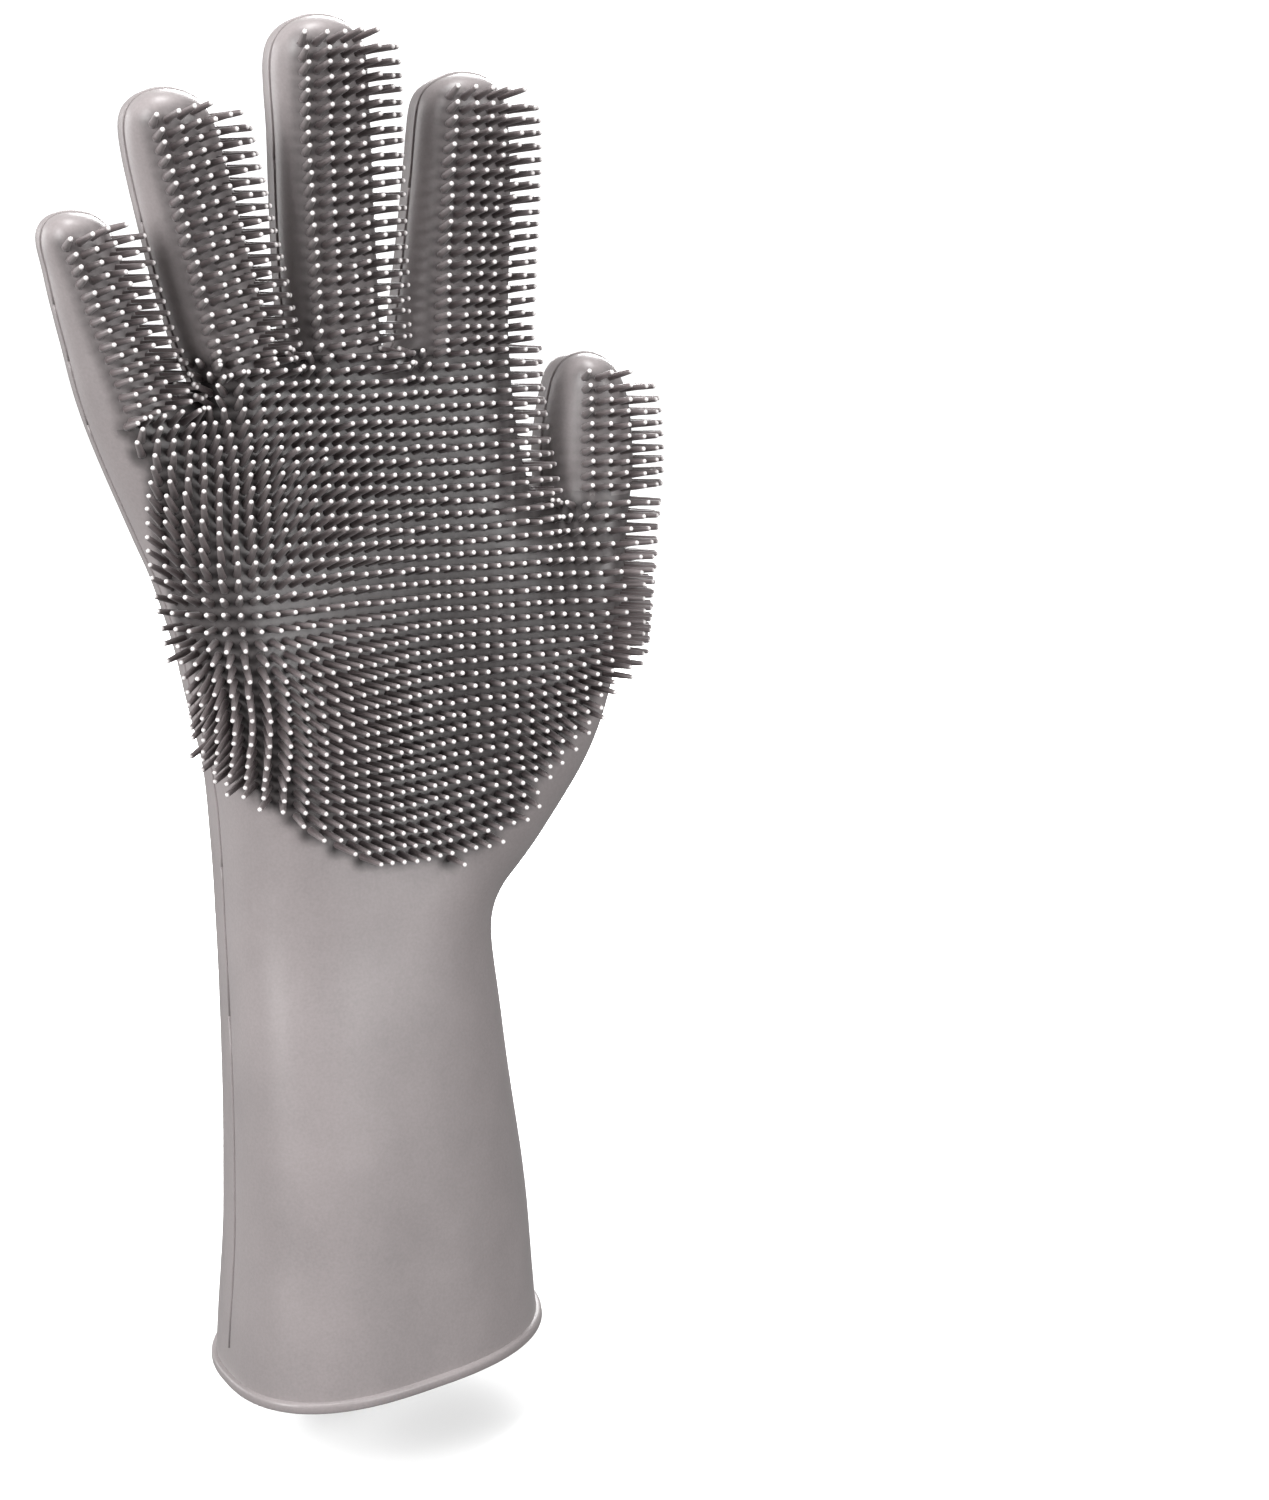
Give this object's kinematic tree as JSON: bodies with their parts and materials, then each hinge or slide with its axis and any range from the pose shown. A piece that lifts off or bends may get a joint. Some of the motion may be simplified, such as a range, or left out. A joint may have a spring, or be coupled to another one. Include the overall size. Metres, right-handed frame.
{
  "type": "pet grooming glove",
  "caption": "Right-hand silicone grooming glove with a bristled palm and digits, dotted back, rimmed cuff and a hanging tab with a hole.",
  "frame": {"origin": "centre of the arm opening, in the plane of the cuff's rim", "axes": "+Z from the arm opening to the fingertips, +X to the thumb's side, -Y out of the bristled palm, +Y out of the dotted back"},
  "size_m": [0.1542, 0.0744, 0.3676],
  "materials": {
    "glove_silicone": "satin moulded silicone",
    "bristle_silicone": "satin moulded silicone"
  },
  "bodies": {
    "cuff": {"cuff_front_wall": "glove_silicone", "cuff_back_wall": "glove_silicone", "rim_bead": "glove_silicone", "tab_neck": "glove_silicone"},
    "tab": {"hanging_tab": "glove_silicone"},
    "hand": {"palm_shell": "glove_silicone", "back_of_hand_shell": "glove_silicone", "palm_bristles": "bristle_silicone", "wrist_crease": "glove_silicone"},
    "index_root": {"index_root_stall": "glove_silicone", "index_root_bristles": "bristle_silicone", "index_knuckle_crease": "glove_silicone"},
    "index_mid": {"index_mid_stall": "glove_silicone", "index_mid_bristles": "bristle_silicone", "index_mid_crease": "glove_silicone"},
    "index_tip": {"index_tip_stall": "glove_silicone", "index_tip_bristles": "bristle_silicone", "index_tip_crease": "glove_silicone"},
    "middle_root": {"middle_root_stall": "glove_silicone", "middle_root_bristles": "bristle_silicone", "middle_knuckle_crease": "glove_silicone"},
    "middle_mid": {"middle_mid_stall": "glove_silicone", "middle_mid_bristles": "bristle_silicone", "middle_mid_crease": "glove_silicone"},
    "middle_tip": {"middle_tip_stall": "glove_silicone", "middle_tip_bristles": "bristle_silicone", "middle_tip_crease": "glove_silicone"},
    "ring_root": {"ring_root_stall": "glove_silicone", "ring_root_bristles": "bristle_silicone", "ring_knuckle_crease": "glove_silicone"},
    "ring_mid": {"ring_mid_stall": "glove_silicone", "ring_mid_bristles": "bristle_silicone", "ring_mid_crease": "glove_silicone"},
    "ring_tip": {"ring_tip_stall": "glove_silicone", "ring_tip_bristles": "bristle_silicone", "ring_tip_crease": "glove_silicone"},
    "little_root": {"little_root_stall": "glove_silicone", "little_root_bristles": "bristle_silicone", "little_knuckle_crease": "glove_silicone"},
    "little_mid": {"little_mid_stall": "glove_silicone", "little_mid_bristles": "bristle_silicone", "little_mid_crease": "glove_silicone"},
    "little_tip": {"little_tip_stall": "glove_silicone", "little_tip_bristles": "bristle_silicone", "little_tip_crease": "glove_silicone"},
    "thumb_root": {"thumb_root_stall": "glove_silicone", "thumb_root_bristles": "bristle_silicone", "thumb_knuckle_crease": "glove_silicone"},
    "thumb_tip": {"thumb_tip_stall": "glove_silicone", "thumb_tip_bristles": "bristle_silicone", "thumb_tip_crease": "glove_silicone"}
  },
  "joints": [
    {"name": "tab_flex", "type": "hinge", "parent": "cuff", "child": "tab", "pos_m": [0.0013, 0.0346, -0.0008], "axis": [1, 0, 0], "range_deg": [-55, 55], "stiffness_Nm_per_rad": 0.02, "deforming": ["tab_neck"]},
    {"name": "wrist_flex", "type": "hinge", "parent": "cuff", "child": "hand", "pos_m": [0, 0, 0.116], "axis": [1, 0, 0], "range_deg": [-30, 40], "stiffness_Nm_per_rad": 1.5, "deforming": ["wrist_crease", "palm_bristles"]},
    {"name": "index_knuckle_flex", "type": "hinge", "parent": "hand", "child": "index_root", "pos_m": [0.02373, -0.00254, 0.2725], "axis": [1, 0, 0], "range_deg": [-12, 60], "stiffness_Nm_per_rad": 0.08, "deforming": ["index_knuckle_crease", "index_root_bristles"]},
    {"name": "index_mid_flex", "type": "hinge", "parent": "index_root", "child": "index_mid", "pos_m": [0.02418, -0.00614, 0.295], "axis": [1, 0, 0], "range_deg": [0, 70], "stiffness_Nm_per_rad": 0.05, "deforming": ["index_mid_crease", "index_mid_bristles"]},
    {"name": "index_tip_flex", "type": "hinge", "parent": "index_mid", "child": "index_tip", "pos_m": [0.02458, -0.00934, 0.315], "axis": [1, 0, 0], "range_deg": [0, 42], "stiffness_Nm_per_rad": 0.05, "deforming": ["index_tip_crease", "index_tip_bristles"]},
    {"name": "middle_knuckle_flex", "type": "hinge", "parent": "hand", "child": "middle_root", "pos_m": [-0.00757, -0.00281, 0.2735], "axis": [1, 0, 0], "range_deg": [-12, 60], "stiffness_Nm_per_rad": 0.08, "deforming": ["middle_knuckle_crease", "middle_root_bristles"]},
    {"name": "middle_mid_flex", "type": "hinge", "parent": "middle_root", "child": "middle_mid", "pos_m": [-0.00993, -0.00745, 0.3], "axis": [1, 0, 0], "range_deg": [0, 70], "stiffness_Nm_per_rad": 0.05, "deforming": ["middle_mid_crease", "middle_mid_bristles"]},
    {"name": "middle_tip_flex", "type": "hinge", "parent": "middle_mid", "child": "middle_tip", "pos_m": [-0.01197, -0.01147, 0.323], "axis": [1, 0, 0], "range_deg": [0, 42], "stiffness_Nm_per_rad": 0.05, "deforming": ["middle_tip_crease", "middle_tip_bristles"]},
    {"name": "ring_knuckle_flex", "type": "hinge", "parent": "hand", "child": "ring_root", "pos_m": [-0.03552, -0.00213, 0.27], "axis": [1, 0, 0], "range_deg": [-12, 60], "stiffness_Nm_per_rad": 0.08, "deforming": ["ring_knuckle_crease", "ring_root_bristles"]},
    {"name": "ring_mid_flex", "type": "hinge", "parent": "ring_root", "child": "ring_mid", "pos_m": [-0.04138, -0.00543, 0.291], "axis": [1, 0, 0], "range_deg": [0, 70], "stiffness_Nm_per_rad": 0.05, "deforming": ["ring_mid_crease", "ring_mid_bristles"]},
    {"name": "ring_tip_flex", "type": "hinge", "parent": "ring_mid", "child": "ring_tip", "pos_m": [-0.04682, -0.00849, 0.3105], "axis": [1, 0, 0], "range_deg": [0, 42], "stiffness_Nm_per_rad": 0.05, "deforming": ["ring_tip_crease", "ring_tip_bristles"]},
    {"name": "little_knuckle_flex", "type": "hinge", "parent": "hand", "child": "little_root", "pos_m": [-0.06075, -0.00176, 0.2615], "axis": [1, 0, 0], "range_deg": [-12, 55], "stiffness_Nm_per_rad": 0.08, "deforming": ["little_knuckle_crease", "little_root_bristles"]},
    {"name": "little_mid_flex", "type": "hinge", "parent": "little_root", "child": "little_mid", "pos_m": [-0.06572, -0.00344, 0.2755], "axis": [1, 0, 0], "range_deg": [0, 55], "stiffness_Nm_per_rad": 0.05, "deforming": ["little_mid_crease", "little_mid_bristles"]},
    {"name": "little_tip_flex", "type": "hinge", "parent": "little_mid", "child": "little_tip", "pos_m": [-0.07016, -0.00494, 0.288], "axis": [1, 0, 0], "range_deg": [0, 33], "stiffness_Nm_per_rad": 0.05, "deforming": ["little_tip_crease", "little_tip_bristles"]},
    {"name": "thumb_knuckle_flex", "type": "hinge", "parent": "hand", "child": "thumb_root", "pos_m": [0.06012, -0.00712, 0.231], "axis": [0.8, -0.6, 0], "range_deg": [-10, 40], "stiffness_Nm_per_rad": 0.08, "deforming": ["thumb_knuckle_crease", "thumb_root_bristles"]},
    {"name": "thumb_tip_flex", "type": "hinge", "parent": "thumb_root", "child": "thumb_tip", "pos_m": [0.06044, -0.00744, 0.247], "axis": [0.8, -0.6, 0], "range_deg": [0, 50], "stiffness_Nm_per_rad": 0.05, "deforming": ["thumb_tip_crease", "thumb_tip_bristles"]}
  ],
  "couplings": [
    {"joint": "index_tip_flex", "follows": "index_mid_flex", "ratio": 0.6},
    {"joint": "middle_tip_flex", "follows": "middle_mid_flex", "ratio": 0.6},
    {"joint": "ring_tip_flex", "follows": "ring_mid_flex", "ratio": 0.6},
    {"joint": "little_tip_flex", "follows": "little_mid_flex", "ratio": 0.6}
  ]
}
